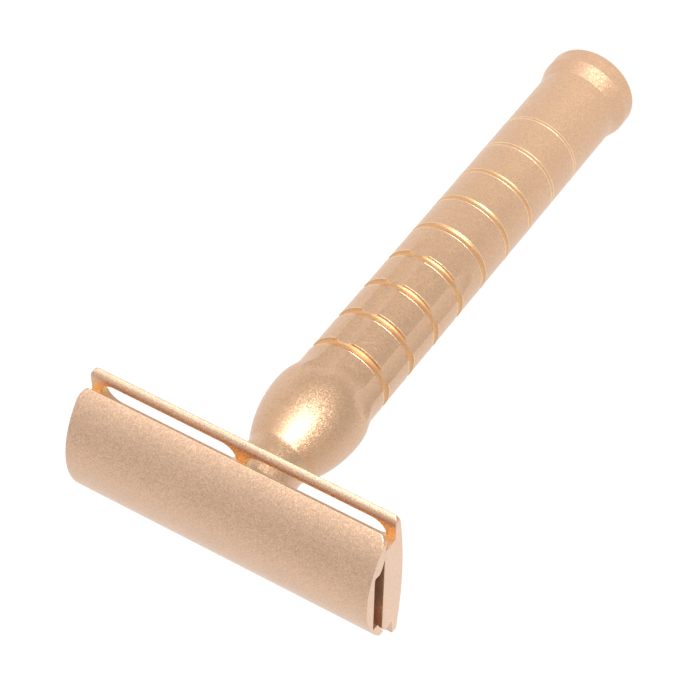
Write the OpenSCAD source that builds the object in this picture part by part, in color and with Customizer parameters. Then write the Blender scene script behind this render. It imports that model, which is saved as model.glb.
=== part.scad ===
// Single-edge safety razor in three pieces: a curved cap with a threaded stud and two locating
// pins, a base plate with a slotted guard, and a turned handle that screws onto the stud and
// clamps the cap down.
// Millimetres. The handle stands on the origin with its axis along +Z, and the cap is on top.
// The guard faces -Y, and the head's length runs along X.

/* [Head] */
// Length of the head from end to end
head_len = 44.5; // [43.5:0.5:50]
// Height of the blade bed above the foot of the handle
bed_z = 93.45; // [92:0.05:96]
// Rounding of the plate's corners, seen from above
plate_corner_r = 0.9; // [0.5:0.1:1.5]
// Rounding of the cap's corners, seen from above
cap_corner_r = 1.5; // [0.5:0.1:2]

/* [Base plate] */
// Distance from the handle's axis to the front of the guard
guard_reach = 11.2; // [10.8:0.1:12]
// Distance from the handle's axis to the back of the rear ledge
ledge_reach = 11.84; // [11.5:0.02:12.5]
// Distance from the handle's axis to the front wall of the blade bed
bed_front = 7.72; // [7.5:0.02:8]
// Distance from the handle's axis to the rear wall of the blade bed
bed_rear = 8.58; // [8.4:0.02:9]
// Height of the bed above the guard's floor
bed_step = 2.39; // [2:0.01:2.8]
// Thickness of the plate at its middle, from the bed to the convex back
plate_thick = 4.4; // [4:0.05:5]
// Radius of the convex back
back_r = 60; // [50:1:80]
// Diameter of the cutter that leaves the two lather slots
slot_d = 4.34; // [4:0.02:4.6]
// Distance from the handle's axis to the centre line of the slots
slot_centre = 7.6; // [7.4:0.1:7.8]
// Width of the bridge between the slots
slot_bridge = 1.3; // [1:0.1:3]
// Width of the solid floor left at each end
slot_margin = 1.35; // [1:0.05:3]

/* [Cap] */
// Radius of the cap's outer curve
cap_r = 12.7; // [12.5:0.05:13.2]
// Height of the cap's crown above the bed
cap_rise = 3.97; // [3.8:0.01:4.5]
// Height of the open cavity above the bed
cavity_h = 2.22; // [2:0.01:2.4]
// Diameter of the boss that holds the stud
boss_d = 8; // [7:0.5:9]

/* [Stud and pins] */
// Diameter of the threaded stud
stud_d = 5; // [4:0.5:5]
// Lead of the stud's thread
thread_pitch = 0.8; // [0.7:0.05:1]
// Length of the stud below the bed
stud_reach = 12.85; // [12:0.05:14]
// Diameter of the locating pins
pin_d = 2.4; // [2:0.1:3]
// Distance between the locating pins
pin_spacing = 24; // [20:1:28]
// Distance of the pins behind the handle's axis
pin_y = 2.5; // [2:0.1:4]
// Depth of the pins in the base plate
pin_reach = 2; // [1.5:0.1:2.1]

/* [Handle] */
// Diameter of the straight grip
grip_d = 12; // [11.5:0.1:12.5]
// Diameter of the flared foot
foot_d = 13.3; // [12.8:0.1:14]
// Largest diameter of the bulb under the head
bulb_d = 13.6; // [13:0.1:14]
// Height of the bulb's largest diameter
bulb_z = 73.6; // [73:0.1:74]
// Diameter of the neck under the plate
neck_d = 8.6; // [8.4:0.1:9]
// Number of ring grooves
ring_count = 9; // [5:1:9]
// Height of the topmost ring groove
ring_top_z = 66.3; // [66:0.1:67]
// Distance between ring grooves
ring_step = 6.23; // [6:0.01:6.3]
// Depth of the topmost ring groove, from which the others fade
ring_depth = 0.45; // [0.3:0.01:0.5]
// Number of flutes
flute_count = 5; // [3:1:6]
// Depth of a flute
flute_depth = 0.3; // [0.2:0.05:0.35]
// Turn of the first flute from +X
flute_start = 63; // [0:1:72]

/* [Hidden] */
alu = [0.83, 0.68, 0.55];
steel = [0.72, 0.72, 0.74];
brass = [0.80, 0.65, 0.36];
$fn = 96;
eps = 0.01;

floor_z = bed_z - bed_step;
back_z = bed_z - plate_thick;
crown_z = bed_z + cap_rise;
cavity_z = bed_z + cavity_h;
// The handle's end seats in a shallow spot face on the plate's curved back.
seat_z = back_z + 0.15;
seat_d = neck_d + 0.4;
stud_hole_d = stud_d + 0.4;
stud_end_z = bed_z - stud_reach;
// A plain running fit stands for the thread between the stud and the insert.
thread_fit = 0.05;
pin_fit = 0.05;
insert_d = 6.4;
insert_len = 12;
// The cap's curve is centred a little towards the guard.
cap_axis_y = -0.4;
slot_r = slot_d / 2;
slot_inner_x = slot_bridge / 2 + slot_r;
slot_outer_x = head_len / 2 - slot_margin - slot_r;
grip_r = grip_d / 2;
foot_r = foot_d / 2;
bulb_r = bulb_d / 2;
neck_r = neck_d / 2;
ring_nose_r = 0.66;
flute_r = 6.3;
flute_end_z = ring_top_z - 3.57 * ring_step;
flute_run = 3;

// Points of an arc about [cx, cz], from angle a0 to a1 in n steps.
function arc(cx, cz, r, a0, a1, n) =
    [for (i = [0:n]) let (a = a0 + (a1 - a0) * i / n) [cx + r * cos(a), cz + r * sin(a)]];

// Depth of ring groove k, counted down from 0 at the top: it fades away towards the foot.
function groove_depth(k) = ring_depth * pow((ring_count - 0.4 - k) / (ring_count - 0.4), 1.5);

// A profile drawn in the YZ plane, swept along the whole head.
module head_sweep() {
    rotate([90, 0, 90]) translate([0, 0, -head_len / 2]) linear_extrude(head_len) children();
}

// A cylinder that lies along the head's length.
module head_cylinder(r, y, z) {
    translate([0, y, z]) rotate([0, 90, 0]) cylinder(r = r, h = head_len + 2, center = true, $fn = 240);
}

// An upright block with rounded corners, from y0 to y1 and z0 to z1.
module rounded_block(y0, y1, z0, z1, r) {
    half = head_len / 2;
    translate([-half + r, y0, z0]) cube([head_len - 2 * r, y1 - y0, z1 - z0]);
    translate([-half, y0 + r, z0]) cube([head_len, y1 - y0 - 2 * r, z1 - z0]);
    for (x = [-half + r, half - r], y = [y0 + r, y1 - r])
        translate([x, y, z0]) cylinder(r = r, h = z1 - z0);
}

// One lather slot, milled from below up to the guard's floor.
module lather_slot(side) {
    depth = floor_z + 0.25 - back_z + 1;
    translate([0, -slot_centre, back_z - 1]) {
        for (x = [slot_inner_x, slot_outer_x]) translate([side * x, 0, 0]) cylinder(r = slot_r, h = depth);
        translate([side > 0 ? slot_inner_x : -slot_outer_x, -slot_r, 0])
            cube([slot_outer_x - slot_inner_x, slot_d, depth]);
    }
}

module base_plate() {
    color(alu) difference() {
        intersection() {
            head_sweep() polygon([
                [-guard_reach, floor_z - 0.67], [-guard_reach + 0.38, floor_z + 0.18],
                [-bed_front, floor_z], [-bed_front, bed_z],
                [bed_rear - 1.26, bed_z], [bed_rear, bed_z - 0.73],
                [bed_rear, floor_z + 0.1], [ledge_reach - 0.56, floor_z - 0.22],
                [ledge_reach, floor_z - 1.03], [ledge_reach, back_z - 1], [-guard_reach, back_z - 1]
            ]);
            head_cylinder(back_r, 1, back_z + back_r);
            rounded_block(-guard_reach, ledge_reach, back_z - 1, bed_z + 1, plate_corner_r);
        }
        lather_slot(1);
        lather_slot(-1);
        translate([0, 0, back_z - 1]) cylinder(d = seat_d, h = seat_z - back_z + 1);
        translate([0, 0, back_z - 1]) cylinder(d = stud_hole_d, h = plate_thick + 2);
        for (x = [-1, 1]) translate([x * pin_spacing / 2, pin_y, bed_z - pin_reach - 0.3])
            cylinder(d = pin_d + 2 * pin_fit, h = pin_reach + 1);
    }
}

module cap() {
    color(alu) difference() {
        union() {
            intersection() {
                head_sweep() polygon([
                    [-10.4, bed_z - 0.5], [-9.6, bed_z - 0.5], [-bed_front, bed_z], [-6.4, bed_z],
                    [-5.2, bed_z + 0.48], [-4.47, bed_z + 1.15], [-4.7, bed_z + 2.05],
                    [-4.45, cavity_z], [5.3, cavity_z], [5.5, bed_z + 1.07], [9.5, bed_z - 0.93],
                    [9.5, crown_z + 1], [-10.4, crown_z + 1]
                ]);
                head_cylinder(cap_r, cap_axis_y, crown_z - cap_r);
                rounded_block(-10.1, 9.6, bed_z - 2, crown_z + 1, cap_corner_r);
            }
            translate([0, 0, bed_z + 0.3]) cylinder(d = boss_d, h = cavity_h);
        }
        translate([0, 0, bed_z]) cylinder(d = stud_d, h = cap_rise - 1);
        for (x = [-1, 1]) translate([x * pin_spacing / 2, pin_y, bed_z]) cylinder(d = pin_d, h = cavity_h + 0.8);
    }
}

module cap_stud() {
    color(steel) translate([0, 0, stud_end_z]) {
        cylinder(d1 = stud_d - 1, d2 = stud_d, h = 0.5);
        translate([0, 0, 0.5]) cylinder(d = stud_d, h = stud_reach + cap_rise - 1.5);
    }
}

// A locating pin pressed into the cap; side is 1 towards +X and -1 towards -X.
module locating_pin(side) {
    color(steel) translate([side * pin_spacing / 2, pin_y, bed_z - pin_reach]) {
        cylinder(d1 = pin_d - 0.6, d2 = pin_d, h = 0.3);
        translate([0, 0, 0.3]) cylinder(d = pin_d, h = pin_reach + cavity_h + 0.5);
    }
}

// Half outline of the handle, from the foot to the neck.
function handle_outline() = concat(
    [[0, 0]],
    arc(foot_r - 0.9, 0.9, 0.9, -90, 0, 6),
    [[foot_r, 3], [grip_r + 0.05, 5.1], [grip_r, 5.3]],
    [[grip_r, bulb_z - 4.4]],
    [[grip_r + 0.07, bulb_z - 3.7]],
    arc(bulb_r - 8.7, bulb_z, 8.7, -20, 0, 6),
    arc(bulb_r - 18.3, bulb_z, 18.3, 3, 29, 9),
    [[neck_r + 0.12, seat_z - 6], [neck_r, seat_z - 5], [neck_r, seat_z], [0, seat_z]]
);

module ring_groove(k) {
    depth = groove_depth(k);
    translate([0, 0, ring_top_z - k * ring_step]) rotate_extrude()
        translate([grip_r - depth + ring_nose_r, 0]) circle(r = ring_nose_r, $fn = 32);
}

// The flute's cutter runs beside the handle and eases out of it towards the foot.
module flute_cutter() {
    translate([grip_r + flute_r - flute_depth, 0, flute_end_z]) rotate_extrude() polygon(concat(
        [[0, 0]],
        [for (i = [0:5]) let (t = i / 5) [flute_r - flute_depth * pow(1 - t, 2), flute_run * t]],
        [[flute_r, bulb_z - 1 - flute_end_z], [0, bulb_z - 1 - flute_end_z]]
    ));
}

module handle() {
    color(alu) difference() {
        rotate_extrude() polygon(handle_outline());
        for (k = [0:ring_count - 1]) ring_groove(k);
        for (i = [0:flute_count - 1]) rotate([0, 0, flute_start + i * 360 / flute_count]) flute_cutter();
        translate([0, 0, seat_z - insert_len - 2]) cylinder(d = stud_hole_d, h = insert_len + 3);
        translate([0, 0, seat_z - insert_len]) cylinder(d = insert_d, h = insert_len + 1);
    }
}

module thread_insert() {
    color(brass) translate([0, 0, seat_z - insert_len]) difference() {
        cylinder(d = insert_d, h = insert_len - 0.2);
        translate([0, 0, -1]) cylinder(d = stud_d + 2 * thread_fit, h = insert_len + 2);
        translate([0, 0, insert_len - 0.7]) cylinder(d1 = stud_d + 2 * thread_fit, d2 = stud_d + 1.2, h = 0.5 + eps);
    }
}

base_plate();
cap();
cap_stud();
locating_pin(1);  // left_pin
locating_pin(-1);  // right_pin
handle();
thread_insert();
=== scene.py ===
from math import atan2, cos, degrees, hypot, pi, radians, sin, sqrt, tan

import bmesh
import bpy
from mathutils import Matrix, Quaternion, Vector


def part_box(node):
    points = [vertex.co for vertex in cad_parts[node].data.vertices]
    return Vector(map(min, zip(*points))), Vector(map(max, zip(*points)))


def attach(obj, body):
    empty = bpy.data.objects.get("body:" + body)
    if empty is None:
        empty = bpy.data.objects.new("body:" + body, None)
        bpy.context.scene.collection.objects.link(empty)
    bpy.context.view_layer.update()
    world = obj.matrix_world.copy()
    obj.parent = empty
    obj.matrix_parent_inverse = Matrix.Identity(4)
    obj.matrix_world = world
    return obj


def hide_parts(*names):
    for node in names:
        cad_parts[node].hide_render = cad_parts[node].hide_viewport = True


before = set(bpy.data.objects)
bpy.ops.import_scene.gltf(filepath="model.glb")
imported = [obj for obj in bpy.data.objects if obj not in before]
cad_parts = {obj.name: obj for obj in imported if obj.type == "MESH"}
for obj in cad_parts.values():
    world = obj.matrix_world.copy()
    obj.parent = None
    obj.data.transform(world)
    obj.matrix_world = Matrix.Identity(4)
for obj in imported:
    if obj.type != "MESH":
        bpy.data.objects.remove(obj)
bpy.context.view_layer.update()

# Base plate. The real one is milled from aluminium bar: a stepped bed for the blade, a thin
# guard beyond two long slots, and a gently curved back. Its edges are only broken, then the
# whole plate is bead blasted and anodised in champagne gold. Modelled in millimetres.
MM = 0.001
head_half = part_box("base_plate")[1].x / MM
bed_height = 93.45
guard_floor = bed_height - 2.39
plate_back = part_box("base_plate")[0].z / MM
back_radius = 60.0
guard_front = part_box("base_plate")[0].y / MM
ledge_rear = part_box("base_plate")[1].y / MM
guard_crest = (guard_front + 0.38, 0, guard_floor + 0.18)
crest_round = 0.8
back_middle = 1.0
bed_front = -7.72
bed_rear = 8.58
bed_slope_run = 1.26
bed_slope_drop = 0.73
ledge_drop = 0.22
ledge_slope_run = 0.56
slot_width = 4.34
slot_middle = -7.6
slot_ends = (2.82, 18.73)
seat_diameter = 9.0
seat_depth = 0.15
stud_hole = 5.4
pin_hole = 2.5
pin_hole_depth = 2.3
pin_across = 2.5
pin_along = 12.0
plate_corner = 0.9
broken_edge = 0.075
# How far a cutter runs out past the metal, so that no skin is left.
overrun = 1.0
# Points closer than this are one point.
weld = 0.0005


def line_to(bm, last, across, up):
    """Draws a straight line in the XZ plane from the last point, and returns its end."""
    end = bmesh.ops.extrude_vert_indiv(bm, verts=[last])["verts"][0]
    end.co = (across, 0, up)
    return end


def arc_about(bm, last, across, up, turn, steps):
    """Draws an arc in the XZ plane from the last point about a centre, and returns its end."""
    spun = bmesh.ops.spin(
        bm, geom=[last], cent=(across, 0, up), axis=(0, -1, 0), angle=radians(turn), steps=steps
    )
    return [part for part in spun["geom_last"] if isinstance(part, bmesh.types.BMVert)][0]


def sweep_section(bm, half_length, crest=None, crest_reach=0.0):
    """Fills a closed outline drawn in the XZ plane, and runs it along X as a bar."""
    bmesh.ops.remove_doubles(bm, verts=bm.verts, dist=weld)
    bmesh.ops.contextual_create(bm, geom=bm.edges)
    if crest:
        corner = min(bm.verts, key=lambda vert: (vert.co - Vector(crest)).length)
        bmesh.ops.bevel(
            bm,
            geom=[corner],
            offset=crest_reach,
            segments=12,
            profile=0.5,
            affect="VERTICES",
            material=-1,
        )
    face = bm.faces[:]
    bmesh.ops.rotate(bm, verts=bm.verts, cent=(0, 0, 0), matrix=Matrix.Rotation(pi / 2, 3, "Z"))
    bmesh.ops.translate(bm, verts=bm.verts, vec=(-half_length, 0, 0))
    run = bmesh.ops.extrude_face_region(bm, geom=face)["geom"]
    ends = [part for part in run if isinstance(part, bmesh.types.BMVert)]
    bmesh.ops.translate(bm, verts=ends, vec=(2 * half_length, 0, 0))


def rounded_block(low, high, corner, steps):
    """A block with its four upright edges rounded."""
    bm = bmesh.new()
    bmesh.ops.create_cube(bm, size=1)
    bmesh.ops.scale(bm, verts=bm.verts, vec=Vector(high) - Vector(low))
    bmesh.ops.translate(bm, verts=bm.verts, vec=(Vector(high) + Vector(low)) / 2)
    upright = [e for e in bm.edges if abs(e.verts[0].co.z - e.verts[1].co.z) > 0.01]
    bmesh.ops.bevel(
        bm, geom=upright, offset=corner, segments=steps, profile=0.5, affect="EDGES", material=-1
    )
    return bm


def drill(diameter, low, high, across=0.0, along=0.0, steps=96):
    """The space that a drill or an end mill takes away, as an upright cylinder."""
    bm = bmesh.new()
    bmesh.ops.create_cone(
        bm, cap_ends=True, segments=steps, radius1=diameter / 2, radius2=diameter / 2, depth=high - low
    )
    bmesh.ops.translate(bm, verts=bm.verts, vec=(along, across, (low + high) / 2))
    return bm


def put_in_order(bm):
    """Sorts a shape's points, edges and faces by place, since a cut leaves them in any order."""
    for parts, place_of in (
        (bm.verts, lambda vert: [round(c, 4) for c in vert.co]),
        (bm.edges, lambda edge: sorted(vert.index for vert in edge.verts)),
        (bm.faces, lambda face: sorted(vert.index for vert in face.verts)),
    ):
        rank = {part: i for i, part in enumerate(sorted(parts, key=place_of))}
        parts.sort(key=rank.get)
        parts.index_update()


def cut(blank, tool, operation="DIFFERENCE"):
    """Takes a tool's space away from a blank, or keeps only what is in it, or adds it."""
    parts = []
    for bm in (blank, tool):
        bmesh.ops.recalc_face_normals(bm, faces=bm.faces)
        mesh = bpy.data.meshes.new("cut")
        bm.to_mesh(mesh)
        bm.free()
        part = bpy.data.objects.new("cut", mesh)
        bpy.context.scene.collection.objects.link(part)
        parts.append(part)
    boolean = parts[0].modifiers.new("cut", "BOOLEAN")
    boolean.operation = operation
    boolean.solver = "EXACT"
    boolean.object = parts[1]
    bpy.context.view_layer.update()
    result = parts[0].evaluated_get(bpy.context.evaluated_depsgraph_get()).to_mesh()
    bm = bmesh.new()
    bm.from_mesh(result)
    for part in parts:
        mesh = part.data
        bpy.data.objects.remove(part)
        bpy.data.meshes.remove(mesh)
    bmesh.ops.remove_doubles(bm, verts=bm.verts, dist=weld)
    put_in_order(bm)
    return bm


def sharp_edges(bm, least_angle=28):
    """The edges where two faces meet at more than the least angle, in degrees."""
    return [e for e in bm.edges if e.is_manifold and e.calc_face_angle() > radians(least_angle)]


def break_edges(bm, width, crisp=lambda middle: False):
    """Breaks the sharp edges of a machined blank by a small round, and keeps its faces flat.
    The edges that crisp picks, by their middle, stay as the cutter left them."""
    mesh = bpy.data.meshes.new("blank")
    rim = [e for e in sharp_edges(bm) if not (crisp(e.verts[0].co) or crisp(e.verts[1].co))]
    # An edge about as short as the round is wide would make two rounds cross, so it is closed up.
    bmesh.ops.collapse(bm, edges=[e for e in rim if e.calc_length() < width * 1.12])
    bmesh.ops.dissolve_degenerate(bm, edges=bm.edges, dist=weld)
    amount = bm.edges.layers.float.new("bevel_weight_edge")
    for edge in sharp_edges(bm):
        if crisp((edge.verts[0].co + edge.verts[1].co) / 2):
            edge.smooth = False
        else:
            edge[amount] = 1.0
    bm.to_mesh(mesh)
    bm.free()
    for face in mesh.polygons:
        face.use_smooth = True
    blank = bpy.data.objects.new("blank", mesh)
    bpy.context.scene.collection.objects.link(blank)
    bevel = blank.modifiers.new("broken edges", "BEVEL")
    bevel.width = width
    bevel.segments = 3
    bevel.profile = 0.5
    bevel.limit_method = "WEIGHT"
    bevel.use_clamp_overlap = False
    flats = blank.modifiers.new("flat faces stay flat", "WEIGHTED_NORMAL")
    flats.mode = "FACE_AREA_WITH_ANGLE"
    flats.weight = 50
    flats.keep_sharp = True
    bpy.context.view_layer.update()
    result = bpy.data.meshes.new_from_object(
        blank.evaluated_get(bpy.context.evaluated_depsgraph_get())
    )
    bpy.data.objects.remove(blank)
    bpy.data.meshes.remove(mesh)
    return result


def place(mesh, name, material):
    """Makes a finished mesh an object of the scene, in metres, with its finish."""
    mesh.name = name
    mesh.transform(Matrix.Scale(MM, 4))
    mesh.materials.clear()
    mesh.materials.append(material)
    piece = bpy.data.objects.new(name, mesh)
    bpy.context.scene.collection.objects.link(piece)
    return piece


def linear(hex_colour):
    """An sRGB hex colour as the linear RGBA that a shader takes."""
    channels = [int(hex_colour[i : i + 2], 16) / 255 for i in (1, 3, 5)]
    return [c / 12.92 if c <= 0.04045 else ((c + 0.055) / 1.055) ** 2.4 for c in channels] + [1.0]


def add(tree, kind, inputs=(), **settings):
    """Adds a node with its settings; an input takes a value, or the output that feeds it."""
    node = tree.nodes.new(kind)
    for name, value in settings.items():
        setattr(node, name, value)
    for name, value in dict(inputs).items():
        if isinstance(value, bpy.types.NodeSocket):
            tree.links.new(value, node.inputs[name])
        else:
            node.inputs[name].default_value = value
    return node


# Bead-blasted anodised aluminium: each glass bead leaves a shallow dent under 0.1 mm across
# that faces its own way, so the metal is satin with a fine sparkle and no direction. The dyed
# oxide film is clear on top, and gives a paler gloss over the gold.
# The dents are drawn 0.13 mm across, since finer ones would not show.
dent_size = 0.13
dent_lean = 0.24
cut_lean = 0.02


def blasted_aluminium(name, gold, painted_bounce_gold=None, painted_lip_highlight=None):
    """The blasted finish. With its two more colours, it also finishes grooves, recesses and lips, which
    the attributes groove and lip mark on the piece: the groove colour is painted bounce light, a deeper
    gold between walls, and the lip colour is a painted highlight."""
    material = bpy.data.materials.new(name)
    material.use_nodes = True
    tree = material.node_tree
    tree.nodes.clear()
    place_on = add(tree, "ShaderNodeTexCoord").outputs["Object"]
    dents = add(tree, "ShaderNodeTexVoronoi", {"Vector": place_on, "Scale": 1 / (dent_size * MM)})
    drift = add(
        tree,
        "ShaderNodeTexNoise",
        {"Vector": place_on, "Scale": 1 / (4.0 * MM), "Detail": 2.0, "Roughness": 0.5},
    ).outputs["Fac"]
    each = add(tree, "ShaderNodeSeparateColor", {0: dents.outputs["Color"]})
    grain = add(
        tree, "ShaderNodeMapRange", {"Value": each.outputs["Red"], "To Min": 0.88, "To Max": 1.12}
    ).outputs["Result"]
    wash = add(
        tree,
        "ShaderNodeMapRange",
        {"Value": drift, "From Min": 0.3, "From Max": 0.7, "To Min": 0.985, "To Max": 1.015},
    ).outputs["Result"]
    tone = add(tree, "ShaderNodeMath", {0: grain, 1: wash}, operation="MULTIPLY").outputs["Value"]
    satin = add(
        tree, "ShaderNodeMapRange", {"Value": each.outputs["Green"], "To Min": 0.41, "To Max": 0.49}
    ).outputs["Result"]
    lean = add(
        tree,
        "ShaderNodeVectorMath",
        {0: dents.outputs["Color"], 1: (0.5, 0.5, 0.5)},
        operation="SUBTRACT",
    ).outputs["Vector"]
    shade = linear(gold)
    amount = dent_lean
    if painted_bounce_gold:
        groove = add(tree, "ShaderNodeAttribute", attribute_name="groove").outputs["Fac"]
        lip = add(tree, "ShaderNodeAttribute", attribute_name="lip").outputs["Fac"]
        # Painted light: where the groove mark is, the colour turns to a deeper gold of painted bounce
        # light, and where the lip mark is, to a paler painted highlight.
        shade = add(
            tree,
            "ShaderNodeMix",
            {"Factor": groove, 6: shade, 7: linear(painted_bounce_gold)},
            data_type="RGBA",
        ).outputs[2]
        shade = add(
            tree, "ShaderNodeMix", {"Factor": lip, 6: shade, 7: linear(painted_lip_highlight)}, data_type="RGBA"
        ).outputs[2]
        satin = add(
            tree, "ShaderNodeMix", {"Factor": groove, "A": satin, "B": 0.4}, data_type="FLOAT"
        ).outputs[0]
        satin = add(
            tree, "ShaderNodeMix", {"Factor": lip, "A": satin, "B": 0.3}, data_type="FLOAT"
        ).outputs[0]
        groove_or_lip = add(tree, "ShaderNodeMath", {0: groove, 1: lip}, operation="MAXIMUM").outputs[0]
        amount = add(
            tree, "ShaderNodeMapRange", {"Value": groove_or_lip, "To Min": dent_lean, "To Max": cut_lean}
        ).outputs["Result"]
    lean = add(tree, "ShaderNodeVectorMath", {0: lean, "Scale": amount}, operation="SCALE")
    facing = add(
        tree,
        "ShaderNodeVectorMath",
        {0: add(tree, "ShaderNodeNewGeometry").outputs["Normal"], 1: lean.outputs["Vector"]},
        operation="ADD",
    )
    facing = add(tree, "ShaderNodeVectorMath", {0: facing.outputs["Vector"]}, operation="NORMALIZE")
    colour = add(tree, "ShaderNodeVectorMath", {"Scale": tone}, operation="SCALE")
    if painted_bounce_gold:
        tree.links.new(shade, colour.inputs[0])
    else:
        colour.inputs[0].default_value = shade[:3]
    shader = add(
        tree,
        "ShaderNodeBsdfPrincipled",
        {
            "Base Color": colour.outputs["Vector"],
            "Roughness": satin,
            "Normal": facing.outputs["Vector"],
            "Metallic": 1.0,
            "Coat Weight": 0.9,
            "Coat Roughness": 0.45,
            "Coat IOR": 1.6,
        },
    )
    add(tree, "ShaderNodeOutputMaterial", {"Surface": shader.outputs["BSDF"]})
    return material


# The third colour is painted bounce light for the recess before the bed; the fourth, a painted
# highlight for lips, finds no lips on the plate.
plate_gold = blasted_aluminium("blasted_milled_aluminium_painted_bounce", "#E3BC9C", "#E0B275", "#F1D8B6")

bm = bmesh.new()
start = bm.verts.new(guard_crest)
point = line_to(bm, start, bed_front, guard_floor)
point = line_to(bm, point, bed_front, bed_height)
point = line_to(bm, point, bed_rear - bed_slope_run, bed_height)
point = line_to(bm, point, bed_rear, bed_height - bed_slope_drop)
point = line_to(bm, point, bed_rear, guard_floor + 0.1)
point = line_to(bm, point, ledge_rear - ledge_slope_run, guard_floor - ledge_drop)
back_centre = plate_back + back_radius
rear_reach = ledge_rear - back_middle
front_reach = guard_front - back_middle
rear_tilt = degrees(atan2(rear_reach, sqrt(back_radius**2 - rear_reach**2)))
front_tilt = degrees(atan2(front_reach, sqrt(back_radius**2 - front_reach**2)))
point = line_to(bm, point, ledge_rear, back_centre - sqrt(back_radius**2 - rear_reach**2))
point = arc_about(bm, point, back_middle, back_centre, front_tilt - rear_tilt, 40)
bm.edges.new((point, start))
sweep_section(bm, head_half, guard_crest, crest_round)
block = rounded_block(
    (-head_half, guard_front, plate_back - overrun),
    (head_half, ledge_rear + 0.04, bed_height + overrun),
    plate_corner,
    8,
)
bm = cut(bm, block, "INTERSECT")
for side in (-1, 1):
    slot_low, slot_high = sorted((side * slot_ends[0], side * slot_ends[1]))
    slot = rounded_block(
        (slot_low - slot_width / 2, slot_middle - slot_width / 2, plate_back - overrun),
        (slot_high + slot_width / 2, slot_middle + slot_width / 2, guard_floor + 0.25),
        slot_width / 2 - 0.001,
        16,
    )
    bm = cut(bm, slot)
bm = cut(bm, drill(seat_diameter, plate_back - overrun, plate_back + seat_depth, steps=128))
bm = cut(bm, drill(stud_hole, plate_back - overrun, bed_height + overrun))
hole_foot = bed_height - pin_hole_depth
for side in (-1, 1):
    bm = cut(bm, drill(pin_hole, hole_foot, bed_height + overrun, pin_across, side * pin_along, 64))
seat_edge = plate_back + 0.4
plate_mesh = break_edges(bm, broken_edge, lambda at: hypot(at.x, at.y) < 5 and at.z < seat_edge)

# The recess between the guard and the bed, and the walls of the slots, are marked for a deeper gold,
# less dent grain and their own roughness. The deeper gold is painted bounce light, the light that
# passes between the walls of the recess. The mark fades in behind the crest of the guard.
recess_front = -10.2
recess_fade = 0.8
recess_low = plate_back + 0.6
recess_high = bed_height - 1
slot_reach = slot_ends[1] + slot_width / 2
slot_rear = slot_middle + slot_width / 2
recess = plate_mesh.attributes.new("groove", "FLOAT", "POINT")
for vert in plate_mesh.vertices:
    along, across, height = vert.co
    before_bed = across < bed_front + 0.1
    in_slot = abs(along) < slot_reach and across < slot_rear + 0.1
    inside = abs(along) < head_half - 0.05 and recess_low < height < recess_high
    if inside and (before_bed or in_slot):
        recess.data[vert.index].value = min(1.0, max(0.0, (across - recess_front) / recess_fade))
base_plate = place(plate_mesh, "blade_bed_plate", plate_gold)
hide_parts("base_plate")
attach(base_plate, "plate")

# Cap. The real one is milled from the same bar: a curved top that bends the blade, hollowed
# underneath, with a boss in the middle for the stud. Its ends are cut square, with their
# corners rounded, and it has the same blasted and anodised finish.
cap_radius = 12.7
cap_middle = -0.4
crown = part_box("cap")[1].z / MM
cap_front = -10.1
cap_tip = -10.07
cap_rear = 9.5
cap_corner = 1.5
boss_diameter = 8.0
boss_foot = bed_height + 0.3
cavity_roof = bed_height + 2.22
stud_diameter = 5.0
stud_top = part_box("cap_stud")[1].z / MM
pin_diameter = 2.4
pin_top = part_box("left_pin")[1].z / MM
press_gap = 0.04
cap_gold = blasted_aluminium("blasted_anodised_aluminium", "#E3BC9C")

# The outline runs over the top from the rear, then back underneath: the lip that holds the
# blade, the strip that clamps it, the cavity and the hook behind the bed.
bm = bmesh.new()
cap_centre = crown - cap_radius
front_reach = cap_tip - cap_middle
rear_reach = cap_rear - cap_middle
front_swing = degrees(atan2(front_reach, sqrt(cap_radius**2 - front_reach**2)))
rear_swing = degrees(atan2(rear_reach, sqrt(cap_radius**2 - rear_reach**2)))
start = bm.verts.new((cap_rear, 0, cap_centre + sqrt(cap_radius**2 - rear_reach**2)))
point = arc_about(bm, start, cap_middle, cap_centre, rear_swing - front_swing, 110)
for across, up in (
    (-9.6, -0.5),
    (bed_front, 0.0),
    (-6.4, 0.0),
    (-5.2, 0.48),
    (-4.47, 1.15),
    (-4.7, 2.05),
    (-4.45, 2.22),
    (5.3, 2.22),
    (5.5, 1.07),
    (cap_rear, -0.93),
):
    point = line_to(bm, point, across, bed_height + up)
bm.edges.new((point, start))
sweep_section(bm, head_half)
block = rounded_block(
    (-head_half, cap_front, bed_height - 2 * overrun),
    (head_half, cap_rear, crown + overrun),
    cap_corner,
    10,
)
bm = cut(bm, block, "INTERSECT")
bm = cut(bm, drill(boss_diameter, boss_foot, cavity_roof + 0.5), "UNION")
hole_foot = bed_height - overrun
bm = cut(bm, drill(stud_diameter + press_gap, hole_foot, stud_top))
for side in (-1, 1):
    hole = drill(pin_diameter + press_gap, hole_foot, pin_top, pin_across, side * pin_along, 64)
    bm = cut(bm, hole)
cap = place(break_edges(bm, broken_edge), "curved_cap", cap_gold)
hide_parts("cap")
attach(cap, "cap")

# Cap stud. The real one is a length of stainless steel rod with a rolled M5 thread, pressed
# into the boss of the cap. The handle screws up it and draws the cap down on the blade.
thread_pitch = 0.8
thread_depth = 0.49
# Widths of the thread's flat crest and root, as shares of the pitch.
crest_flat = 1 / 8
root_flat = 1 / 4
# Rows of points in one pitch of thread.
thread_rows = 12
stud_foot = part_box("cap_stud")[0].z / MM
stud_chamfer = 0.5


def rows_to(bm, last, across, up, count):
    """Draws a line in equal steps, so that later cuts have rows of points to move."""
    first = last.co.copy()
    for step in range(1, count + 1):
        share = step / count
        last = line_to(bm, last, first.x + (across - first.x) * share, first.z + (up - first.z) * share)
    return last


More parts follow.
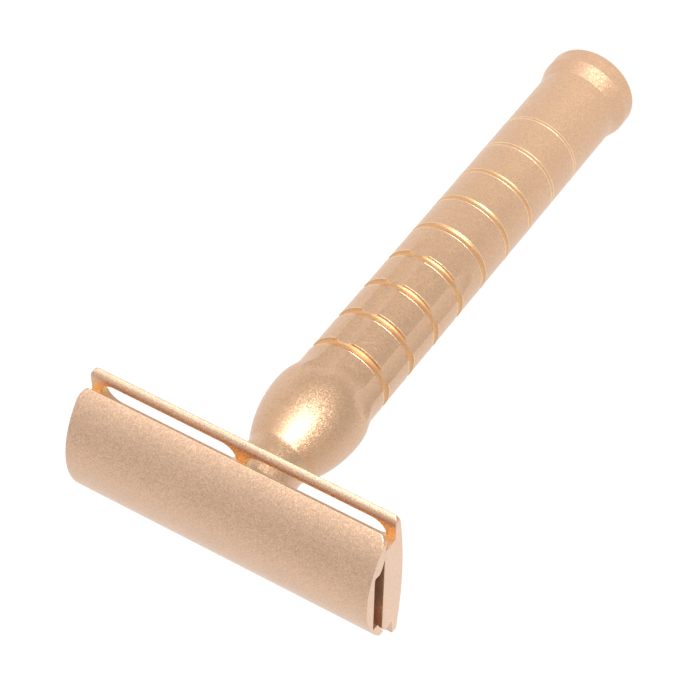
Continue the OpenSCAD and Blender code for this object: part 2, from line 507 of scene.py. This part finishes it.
def turned(bm, steps=360):
    """Turns the drawn outline about the Z axis, as a lathe would, and closes it."""
    bmesh.ops.spin(
        bm,
        geom=bm.verts[:] + bm.edges[:],
        cent=(0, 0, 0),
        axis=(0, 0, 1),
        angle=2 * pi,
        steps=steps,
        use_merge=True,
    )
    bmesh.ops.remove_doubles(bm, verts=bm.verts, dist=weld)
    bmesh.ops.recalc_face_normals(bm, faces=bm.faces)


def thread_share(point, low, high):
    """How far a point lies from the crest of a right-hand thread, 0, towards its root, 1, and
    how much of the thread is left there, as it fades out near its ends."""
    turns = atan2(point.y, point.x) / (2 * pi)
    off_crest = abs((point.z / thread_pitch - turns) % 1.0 - 0.5)
    flank = (off_crest - crest_flat / 2) / (0.5 - crest_flat / 2 - root_flat / 2)
    run_out = min(point.z - low, high - point.z) / thread_pitch
    return min(1.0, max(0.0, flank)), min(1.0, max(0.0, run_out))


def scale_out(vert, radius):
    """Moves a point to a new radius about the Z axis."""
    scale = radius / hypot(vert.co.x, vert.co.y)
    vert.co.x *= scale
    vert.co.y *= scale


def smooth_mesh(bm, name, sharp_angle):
    """The finished shape as a mesh, smooth but for edges sharper than an angle in degrees."""
    mesh = bpy.data.meshes.new(name)
    bm.to_mesh(mesh)
    bm.free()
    mesh.shade_smooth()
    mesh.set_sharp_from_angle(angle=radians(sharp_angle))
    return mesh


# Rolled or ground stainless steel, and turned brass: bright metal with very fine lines round the
# axis from the tool, which stretch the glint. The lines are drawn 0.06 mm apart, since finer
# ones would not show.
def turned_metal(name, colour, roughness):
    material = bpy.data.materials.new(name)
    material.use_nodes = True
    tree = material.node_tree
    tree.nodes.clear()
    place_on = add(tree, "ShaderNodeTexCoord").outputs["Object"]
    squeeze = add(tree, "ShaderNodeMapping", {"Vector": place_on, "Scale": (0.02, 0.02, 1.0)})
    lines = add(
        tree,
        "ShaderNodeTexNoise",
        {"Vector": squeeze.outputs["Vector"], "Scale": 1 / (0.06 * MM), "Detail": 2.0},
    ).outputs["Fac"]
    stain = add(
        tree, "ShaderNodeTexNoise", {"Vector": place_on, "Scale": 1 / (1.5 * MM), "Detail": 3.0}
    ).outputs["Fac"]
    satin = add(
        tree,
        "ShaderNodeMapRange",
        {"Value": lines, "To Min": roughness - 0.08, "To Max": roughness + 0.1},
    ).outputs["Result"]
    tone = add(
        tree, "ShaderNodeMapRange", {"Value": stain, "To Min": 0.85, "To Max": 1.05}
    ).outputs["Result"]
    shade = add(tree, "ShaderNodeVectorMath", {"Scale": tone}, operation="SCALE")
    shade.inputs[0].default_value = linear(colour)[:3]
    scratch = add(
        tree, "ShaderNodeBump", {"Height": lines, "Strength": 0.3, "Distance": 0.01 * MM}
    ).outputs["Normal"]
    shader = add(
        tree,
        "ShaderNodeBsdfPrincipled",
        {
            "Base Color": shade.outputs["Vector"],
            "Roughness": satin,
            "Normal": scratch,
            "Metallic": 1.0,
        },
    )
    add(tree, "ShaderNodeOutputMaterial", {"Surface": shader.outputs["BSDF"]})
    return material


rolled_steel = turned_metal("rolled_stainless_steel", "#CDCBC7", 0.3)

bm = bmesh.new()
point = bm.verts.new((0, 0, stud_foot))
point = line_to(bm, point, stud_diameter / 2 - stud_chamfer, stud_foot)
point = rows_to(bm, point, stud_diameter / 2, stud_foot + stud_chamfer, 6)
thread_length = stud_top - stud_foot - 2 * stud_chamfer
row_count = round(thread_length / thread_pitch * thread_rows)
point = rows_to(bm, point, stud_diameter / 2, stud_top - stud_chamfer, row_count)
point = line_to(bm, point, stud_diameter / 2 - stud_chamfer, stud_top)
point = line_to(bm, point, 0, stud_top)
turned(bm, 72)
for vert in bm.verts:
    radius = hypot(vert.co.x, vert.co.y)
    if radius > weld:
        flank, run_out = thread_share(vert.co, stud_foot - thread_pitch, stud_top)
        scale_out(vert, min(radius, stud_diameter / 2 - thread_depth * flank * run_out))
cap_stud = place(smooth_mesh(bm, "threaded_stud", 35), "threaded_stud", rolled_steel)
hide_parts("cap_stud")
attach(cap_stud, "cap")

# Pins. The real ones are ground stainless steel dowels with a rounded nose, pressed into the
# cap. They pass through the blade's holes and drop into the plate, so the blade can't turn.
pin_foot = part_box("left_pin")[0].z / MM
pin_nose = 0.45
pin_chamfer = 0.25
ground_steel = turned_metal("ground_stainless_steel", "#D4D3D0", 0.24)
for node, side in (("left_pin", 1), ("right_pin", -1)):
    bm = bmesh.new()
    point = bm.verts.new((0, 0, pin_foot))
    point = line_to(bm, point, pin_diameter / 2 - pin_nose, pin_foot)
    point = arc_about(bm, point, pin_diameter / 2 - pin_nose, pin_foot + pin_nose, 90, 8)
    point = rows_to(bm, point, pin_diameter / 2, pin_top - pin_chamfer, 6)
    point = line_to(bm, point, pin_diameter / 2 - pin_chamfer, pin_top)
    point = line_to(bm, point, 0, pin_top)
    turned(bm, 64)
    bmesh.ops.translate(bm, verts=bm.verts, vec=(side * pin_along, pin_across, 0))
    pin = place(smooth_mesh(bm, node, 30), node.replace("pin", "dowel_pin"), ground_steel)
    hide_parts(node)
    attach(pin, "cap")

# Handle. The real one is turned from bar on a lathe: a flared foot, a straight grip with nine
# ring grooves that grow fainter towards the foot, five shallow flutes milled along its upper
# half, and a bulb that narrows to the neck. It is blasted and anodised like the head.
grip_radius = 6.0
foot_radius = 6.65
foot_round = 0.9
bulb_radius = 6.8
bulb_height = 73.6
bulb_curve = 18.3
swell_start = 69.2
neck_radius = 4.3
neck_round = 0.12
neck_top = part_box("handle")[1].z / MM
bore_lead = 0.3
bush_bore = 3.2
bush_seat = neck_top - 12
stud_bore = 2.7
bore_end = neck_top - 14
ring_top = 66.3
ring_step = 6.23
ring_nose = 0.66
ring_depths = (0.47, 0.43, 0.4, 0.37, 0.21, 0.12, 0.075, 0.036, 0.008)
lip_round = 0.08
lip_raise = 0.03
lip_slope = radians(24)
lip_land = 0.05
flute_radius = 6.3
flute_depth = 0.3
flute_turns = [63 + 72 * i for i in range(5)]
flute_start = 44.06
flute_run = 3.0
flute_end = 72.8
flute_end_round = 2.0
flute_end_rise = 1.15
# The rows of points stand closer where the flutes' tips fade out on the grip.
close_rows = 0.3
wide_rows = 3.0

bm = bmesh.new()
point = bm.verts.new((0, 0, 0))
point = line_to(bm, point, foot_radius - foot_round, 0)
point = arc_about(bm, point, foot_radius - foot_round, foot_round, 90, 10)
for radius, height in (
    (foot_radius, 0.96),
    (foot_radius, 2.91),
    (foot_radius, 2.99),
    (foot_radius - 0.02, 3.06),
    (grip_radius + 0.04, 5.16),
    (grip_radius + 0.02, 5.23),
    (grip_radius, 5.31),
    (grip_radius, 5.39),
):
    point = line_to(bm, point, radius, height)

# A ring groove has a round bottom between two lips that the cutter raised, each a small arc
# that leans back down to the grip.
lip_middle = grip_radius + lip_raise - lip_round
lip_out = lip_middle + lip_round * cos(lip_slope)
lip_back = lip_round * sin(lip_slope)
lip_foot = lip_back + (lip_out - grip_radius) / tan(lip_slope)
nose_middles = [grip_radius - depth + ring_nose for depth in ring_depths]
ring_reach = [sqrt((ring_nose + lip_round) ** 2 - (at - lip_middle) ** 2) for at in nose_middles]
for ring in reversed(range(len(ring_depths))):
    middle = ring_top - ring * ring_step
    low_lip = middle - ring_reach[ring]
    high_lip = middle + ring_reach[ring]
    swing = degrees(atan2(ring_reach[ring], nose_middles[ring] - lip_middle))
    land = low_lip - lip_foot - lip_land
    at_tips = flute_start - flute_run < point.co.z < flute_start
    rows = round((land - point.co.z) / (close_rows if at_tips else wide_rows))
    point = rows_to(bm, point, grip_radius, land, max(1, rows))
    point = line_to(bm, point, grip_radius, land + lip_land)
    point = line_to(bm, point, lip_out, low_lip - lip_back)
    point = arc_about(bm, point, lip_middle, low_lip, swing + degrees(lip_slope), 4)
    point = arc_about(bm, point, nose_middles[ring], middle, -2 * swing, 6)
    point = arc_about(bm, point, lip_middle, high_lip, swing + degrees(lip_slope), 4)
    point = line_to(bm, point, grip_radius, high_lip + lip_foot)
    point = line_to(bm, point, grip_radius, high_lip + lip_foot + lip_land)

# The grip swells into the bulb in a soft step, and the bulb runs out into the neck.
point = rows_to(bm, point, grip_radius, swell_start, 6)
for radius, height in (
    (6.03, 69.5),
    (6.1, 69.95),
    (6.2, 70.4),
    (6.33, 70.85),
    (6.46, 71.25),
    (6.58, 71.65),
    (6.68, 72.1),
    (6.75, 72.6),
    (6.79, 73.1),
    (bulb_radius, bulb_height),
):
    point = line_to(bm, point, radius, height)
point = arc_about(bm, point, bulb_radius - bulb_curve, bulb_height, 29, 22)
for radius, height in ((4.43, 82.63), (4.37, 82.83), (4.33, 83.1), (4.31, 83.5), (4.3, 84.2)):
    point = line_to(bm, point, radius, height)
point = line_to(bm, point, neck_radius, neck_top - neck_round)
point = arc_about(bm, point, neck_radius - neck_round, neck_top - neck_round, 90, 3)
point = line_to(bm, point, bush_bore + bore_lead, neck_top)
point = line_to(bm, point, bush_bore, neck_top - bore_lead)
point = line_to(bm, point, bush_bore, bush_seat)
point = line_to(bm, point, stud_bore, bush_seat)
point = line_to(bm, point, stud_bore, bore_end)
point = line_to(bm, point, 0, bore_end)
turned(bm)

# The flutes are cut by moving the skin in to the surface of a round cutter that runs beside it.
# It eases out of the metal towards the foot, and leaves a round end on the bulb.
flute_beside = grip_radius + flute_radius - flute_depth
groove_layer = bm.verts.layers.float.new("groove")
lip_layer = bm.verts.layers.float.new("lip")
for vert in bm.verts:
    radius = hypot(vert.co.x, vert.co.y)
    height = vert.co.z
    ring = round((ring_top - height) / ring_step)
    ring = min(len(ring_depths) - 1, max(0, ring))
    off_ring = abs(height - (ring_top - ring * ring_step))
    # The groove mark carries painted bounce light into each ring, and the lip mark a painted highlight
    # along its lips.
    if off_ring < ring_reach[ring] - 0.04:
        vert[groove_layer] = 1.0
    elif off_ring < ring_reach[ring] + lip_foot - 0.01:
        vert[lip_layer] = 1.0
    if not flute_start < height < flute_end:
        continue
    turn = degrees(atan2(vert.co.y, vert.co.x))
    off_flute = radians(min(abs((turn - flute + 180) % 360 - 180) for flute in flute_turns))
    cutter = flute_radius
    if height < flute_start + flute_run:
        cutter -= flute_depth * (1 - (height - flute_start) / flute_run) ** 2
    if height > flute_end - flute_end_round:
        share = (height - flute_end) / flute_end_round + 1
        cutter -= flute_end_rise * (1 - sqrt(1 - share**2))
    sideways = flute_beside * sin(off_flute)
    if sideways < cutter:
        reach = flute_beside * cos(off_flute) - sqrt(cutter**2 - sideways**2)
        if reach < radius:
            scale_out(vert, reach)
            vert[groove_layer] = 0.0
            vert[lip_layer] = 0.0

# The rings are smoother than the grip, with less dent grain. Their deeper gold is painted bounce light,
# the light that passes between each groove's walls, and the paler colour along each lip is a painted
# highlight, the brighter line where the lip catches the light; the lips are also glossier.
handle_gold = blasted_aluminium("blasted_turned_aluminium_painted_light", "#D3AA85", "#DBA56C", "#F1D8B6")
handle = place(smooth_mesh(bm, "turned_handle", 17), "turned_handle", handle_gold)
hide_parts("handle")
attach(handle, "handle")

# Thread insert. The real one is a knurled brass bush pressed into the neck, with an M5 thread
# for the stud and a countersink at its mouth. It is hidden unless the handle comes off.
insert_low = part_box("thread_insert")[0].z / MM
insert_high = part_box("thread_insert")[1].z / MM
insert_diameter = 6.4
bore_diameter = 5.1
insert_lead = 0.5
mouth_round = 0.1
knurl_count = 36
knurl_depth = 0.12
bore_thread_depth = 0.3

bm = bmesh.new()
start = bm.verts.new((bore_diameter / 2, 0, insert_low + insert_lead))
point = line_to(bm, start, bore_diameter / 2 + insert_lead / 2, insert_low)
point = line_to(bm, point, insert_diameter / 2 - insert_lead / 2, insert_low)
point = line_to(bm, point, insert_diameter / 2, insert_low + insert_lead)
point = rows_to(bm, point, insert_diameter / 2, insert_high - insert_lead, 8)
point = line_to(bm, point, insert_diameter / 2 - mouth_round, insert_high)
point = line_to(bm, point, bore_diameter / 2 + insert_lead / 2, insert_high)
point = line_to(bm, point, bore_diameter / 2, insert_high - insert_lead)
row_count = round((insert_high - insert_low - 2 * insert_lead) / thread_pitch * thread_rows)
point = rows_to(bm, point, bore_diameter / 2, insert_low + insert_lead, row_count)
turned(bm, 144)
for vert in bm.verts:
    radius = hypot(vert.co.x, vert.co.y)
    on_outside = radius > insert_diameter / 2 - 0.01
    in_bore = radius < bore_diameter / 2 + 0.01
    if on_outside:
        turn = atan2(vert.co.y, vert.co.x)
        scale_out(vert, radius - knurl_depth * (0.5 - 0.5 * cos(knurl_count * turn)))
    elif in_bore:
        flank, run_out = thread_share(vert.co, insert_low, insert_high)
        scale_out(vert, radius + bore_thread_depth * (1 - flank) * run_out)
turned_brass = turned_metal("turned_brass", "#D9B45F", 0.32)
thread_insert = place(smooth_mesh(bm, "brass_bush", 40), "brass_bush", turned_brass)
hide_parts("thread_insert")
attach(thread_insert, "handle")

# Studio. A pale floor that glows by itself, as painted light with no shadow on it: white round and
# behind the razor and a soft grey in front of it, so that the curved metal mirrors a darker stretch.
# White light from all round, two softboxes.
bpy.context.scene.view_settings.view_transform = "Standard"
floor_gap = 0.05 * MM
floor_half = 3.0
grey_until = -75 * MM
white_from = -27.5 * MM
floor_mesh = bpy.data.meshes.new("floor")
bm = bmesh.new()
bmesh.ops.create_grid(bm, x_segments=1, y_segments=1, size=floor_half)
bmesh.ops.translate(bm, verts=bm.verts, vec=(0, 0, -floor_gap))
bm.to_mesh(floor_mesh)
bm.free()
floor_glow_material = bpy.data.materials.new("glowing_floor_painted_light")
floor_glow_material.use_nodes = True
tree = floor_glow_material.node_tree
depth = add(
    tree,
    "ShaderNodeVectorMath",
    {0: add(tree, "ShaderNodeTexCoord").outputs["Object"], 1: (0.42, 0.9, 0)},
    operation="DOT_PRODUCT",
)
# Painted light: the floor's own glow, grey in front and white behind, stands in for the light of a
# studio tent.
glow = add(
    tree,
    "ShaderNodeMapRange",
    {
        "Value": depth.outputs["Value"],
        "From Min": grey_until,
        "From Max": white_from,
        "To Min": 0.27,
        "To Max": 0.82,
    },
    interpolation_type="SMOOTHSTEP",
)
floor_surface = tree.nodes["Principled BSDF"]
floor_surface.inputs["Base Color"].default_value = (0.22, 0.22, 0.22, 1)
floor_surface.inputs["Roughness"].default_value = 1.0
floor_surface.inputs["Emission Color"].default_value = (1, 1, 1, 1)
tree.links.new(glow.outputs["Result"], floor_surface.inputs["Emission Strength"])
floor_mesh.materials.append(floor_glow_material)
floor = bpy.data.objects.new("floor", floor_mesh)
bpy.context.scene.collection.objects.link(floor)

world = bpy.data.worlds.new("studio")
bpy.context.scene.world = world
world.use_nodes = True
tree = world.node_tree
up = add(tree, "ShaderNodeSeparateXYZ", {0: add(tree, "ShaderNodeTexCoord").outputs["Generated"]})
sky = add(
    tree,
    "ShaderNodeMapRange",
    {"Value": up.outputs["Z"], "From Min": 0.7, "From Max": 1.0, "To Min": 0.92, "To Max": 0.45},
)
tree.nodes["Background"].inputs["Color"].default_value = (1, 1, 1, 1)
tree.links.new(sky.outputs["Result"], tree.nodes["Background"].inputs["Strength"])


def softbox(name, turn, rise, away, wide, tall, radiance):
    """A soft light that faces the bulb, placed by its direction and distance from it."""
    light = bpy.data.lights.new(name, "AREA")
    light.shape = "RECTANGLE"
    light.size = wide
    light.size_y = tall
    light.energy = radiance * pi * wide * tall
    lamp = bpy.data.objects.new(name, light)
    level = cos(radians(rise))
    toward = Vector((level * cos(radians(turn)), level * sin(radians(turn)), sin(radians(rise))))
    lamp.location = Vector((0, 0, 75)) * MM + toward * away
    lamp.rotation_euler = toward.to_track_quat("Z", "Y").to_euler()
    lamp.visible_camera = False
    bpy.context.scene.collection.objects.link(lamp)


softbox("front_softbox", turn=280, rise=24, away=1.5, wide=1.8, tall=0.9, radiance=0.7)
softbox("key_lamp", turn=255, rise=14, away=1.5, wide=0.9, tall=0.26, radiance=28.0)

# Camera. It looks down on the head from in front and above, with the handle running away from
# it, and is rolled so that the razor lies across the frame. Its lens is a long one.
eye = Vector((-126.76, -276.23, 278.15)) * MM
sight = Vector((0.34504, 0.73929, -0.57827))
camera_data = bpy.data.cameras.new("camera")
camera_data.lens = 147.38
camera_data.sensor_width = 36
camera = bpy.data.objects.new("camera", camera_data)
camera.location = eye
roll = Quaternion((0, 0, 1), radians(-139.54))
camera.rotation_euler = (sight.to_track_quat("-Z", "Y") @ roll).to_euler()
bpy.context.scene.collection.objects.link(camera)
bpy.context.scene.camera = camera
